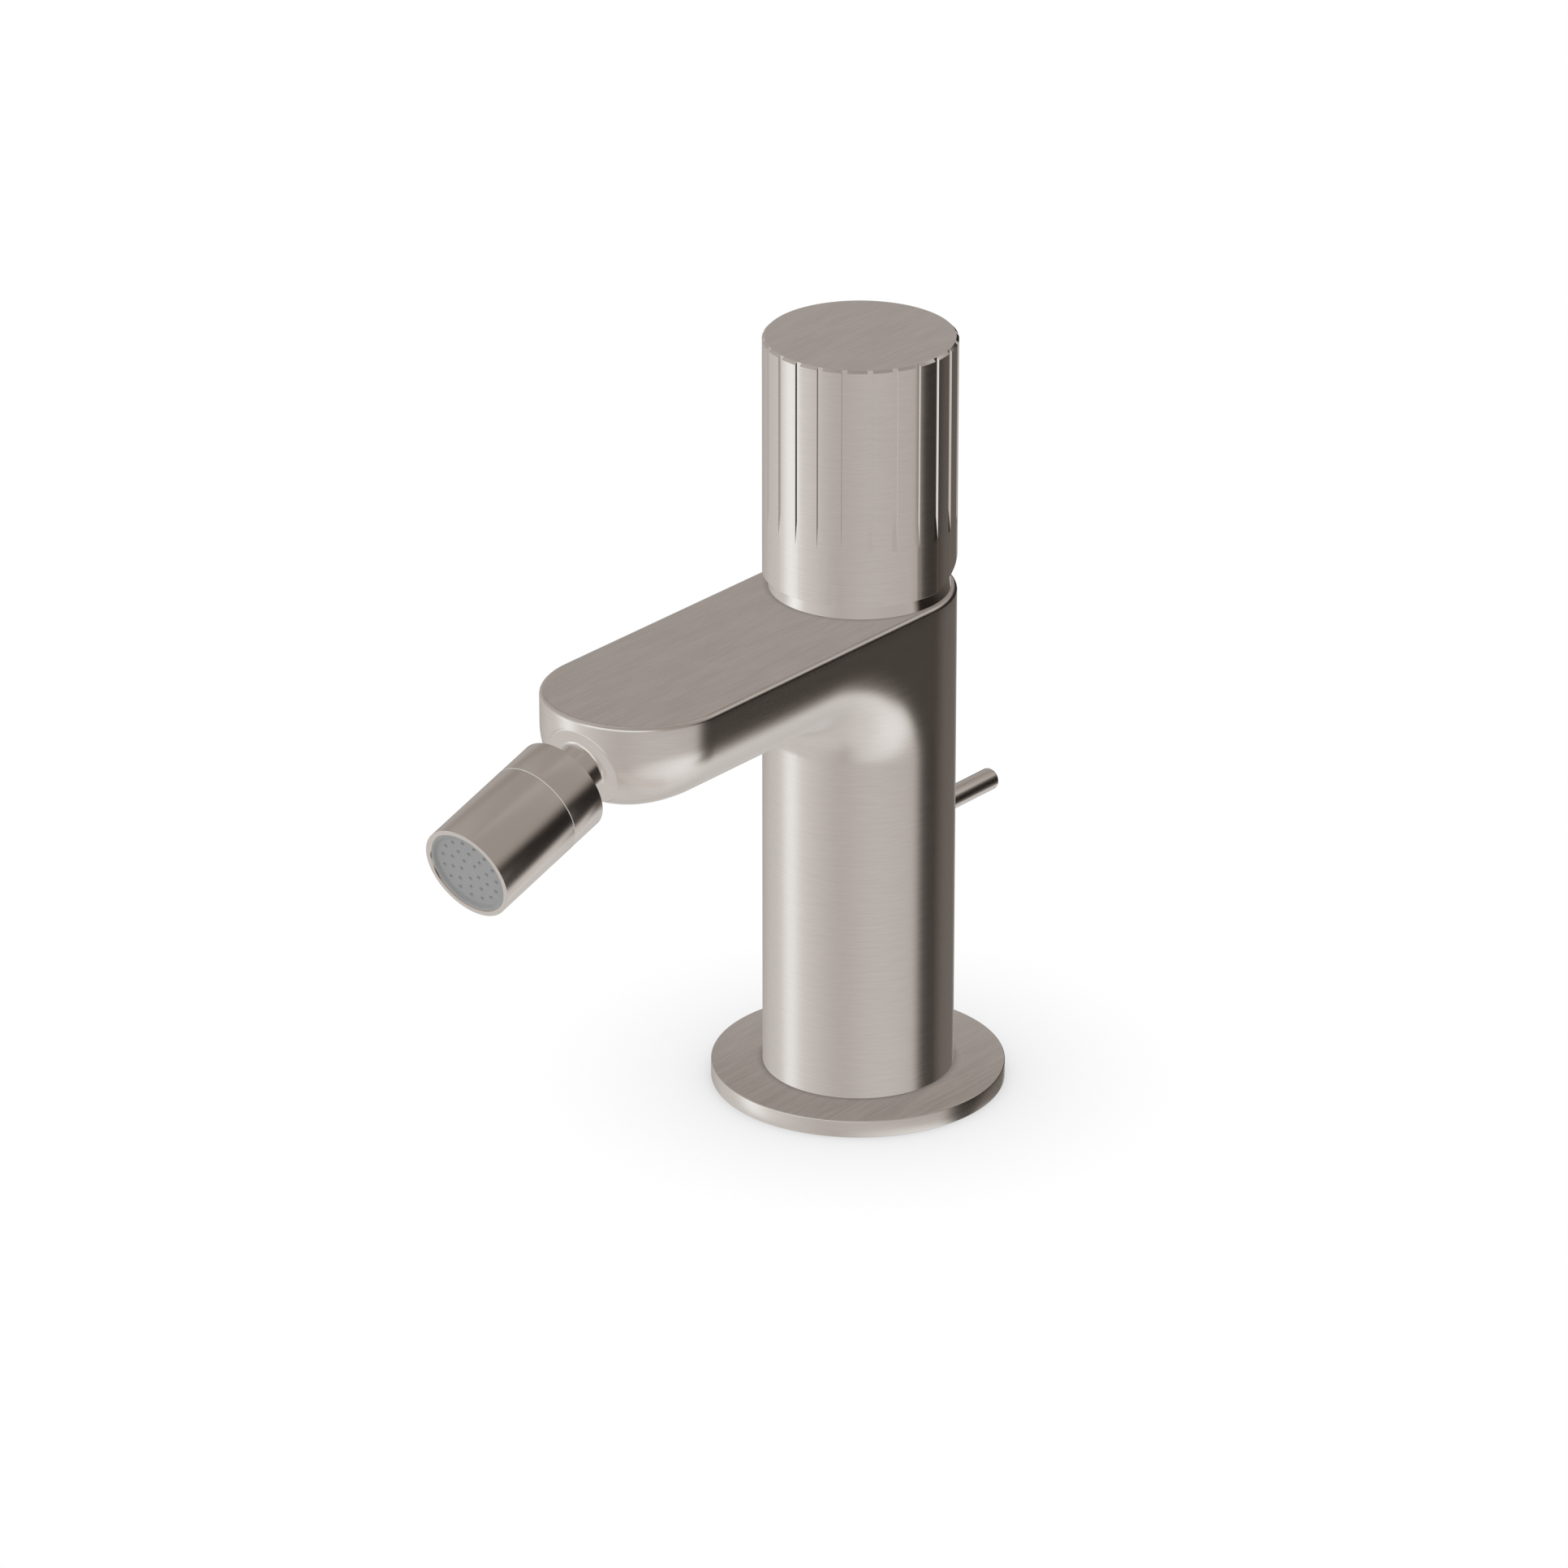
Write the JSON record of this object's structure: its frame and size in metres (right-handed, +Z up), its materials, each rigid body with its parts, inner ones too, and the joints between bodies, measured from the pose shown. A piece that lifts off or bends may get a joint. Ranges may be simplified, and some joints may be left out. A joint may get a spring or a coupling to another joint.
{
  "type": "bidet mixer",
  "caption": "Deck-mounted bidet mixer: round column, level spout, fluted tilting knob, ball-jointed spray nozzle and rear pull pin for the pop-up waste.",
  "frame": {"origin": "centre of the base, on the deck: the middle of the column's flat underside", "axes": "+Z up along the column, -Y along the spout towards the user, +X to the right seen from the front"},
  "size_m": [0.0693, 0.19, 0.2967],
  "materials": {
    "brushed_nickel": "brushed nickel, lines along the flat faces and round the curved ones",
    "knob_nickel": "brushed nickel, fluted",
    "satin_nozzle": "satin nickel, turned",
    "polished_collar": "polished nickel",
    "zinc_steel": "zinc plated steel",
    "plain_brass": "plain machined brass",
    "black_rubber": "smooth black rubber",
    "white_plastic": "moulded white acetal",
    "grey_plastic": "moulded grey plastic",
    "ceramic": null
  },
  "bodies": {
    "body": {"body_casting": "brushed_nickel", "base_flange": "brushed_nickel", "base_gasket": "black_rubber", "fixing_stud": "zinc_steel", "deck_gasket": "black_rubber", "deck_washer": "zinc_steel", "fixing_nut": "plain_brass", "guide_bush": "white_plastic", "cartridge_base": "white_plastic", "port_seals": "black_rubber", "fixed_disc": "ceramic", "cartridge_housing": "white_plastic", "cartridge_nut": "plain_brass", "dome_collar": "polished_collar", "nozzle_stem": "satin_nozzle", "stem_seal": "black_rubber"},
    "rotor": {"cartridge_rotor": "white_plastic", "pivot_pin": "zinc_steel"},
    "disc": {"moving_disc": "ceramic", "disc_carrier": "grey_plastic"},
    "knob": {"lever_stem": "zinc_steel", "knob_insert": "plain_brass", "knob_shell": "knob_nickel", "grub_screw": "zinc_steel"},
    "slip": {"slip_ring": "white_plastic"},
    "seat": {"ball_seat": "white_plastic"},
    "nozzle": {"rear_sleeve": "satin_nozzle", "front_sleeve": "satin_nozzle", "outlet_washer": "black_rubber", "flow_screen": "zinc_steel", "spray_plate": "grey_plastic"},
    "lift": {"pull_pin": "brushed_nickel", "lift_head": "plain_brass", "lift_rod": "zinc_steel"}
  },
  "joints": [
    {"name": "knob_turn", "type": "hinge", "parent": "body", "child": "rotor", "pos_m": [0, 0, 0.1288], "axis": [0, 0, 1], "range_deg": [-45, 45]},
    {"name": "knob_tilt", "type": "hinge", "parent": "rotor", "child": "knob", "pos_m": [0, 0, 0.1288], "axis": [-1, 0, 0], "range_deg": [0, 17]},
    {"name": "disc_slide", "type": "slide", "parent": "rotor", "child": "disc", "axis": [0, -1, 0], "range_m": [0, 0.00415]},
    {"name": "nozzle_yaw", "type": "hinge", "parent": "body", "child": "slip", "pos_m": [0, -0.11338, 0.10781], "axis": [0, -0.3007, 0.9537], "range_deg": [-11, 11]},
    {"name": "nozzle_pitch", "type": "hinge", "parent": "slip", "child": "seat", "pos_m": [0, -0.11338, 0.10781], "axis": [1, 0, 0], "range_deg": [-11, 11]},
    {"name": "nozzle_spin", "type": "hinge", "parent": "seat", "child": "nozzle", "pos_m": [0, -0.11338, 0.10781], "axis": [0, -0.9537, -0.3007], "continuous": true},
    {"name": "waste_pull", "type": "slide", "parent": "body", "child": "lift", "axis": [0, 0, 1], "range_m": [0, 0.012]}
  ],
  "couplings": [
    {"joint": "disc_slide", "follows": "knob_tilt", "m_per_rad": 0.013303}
  ]
}
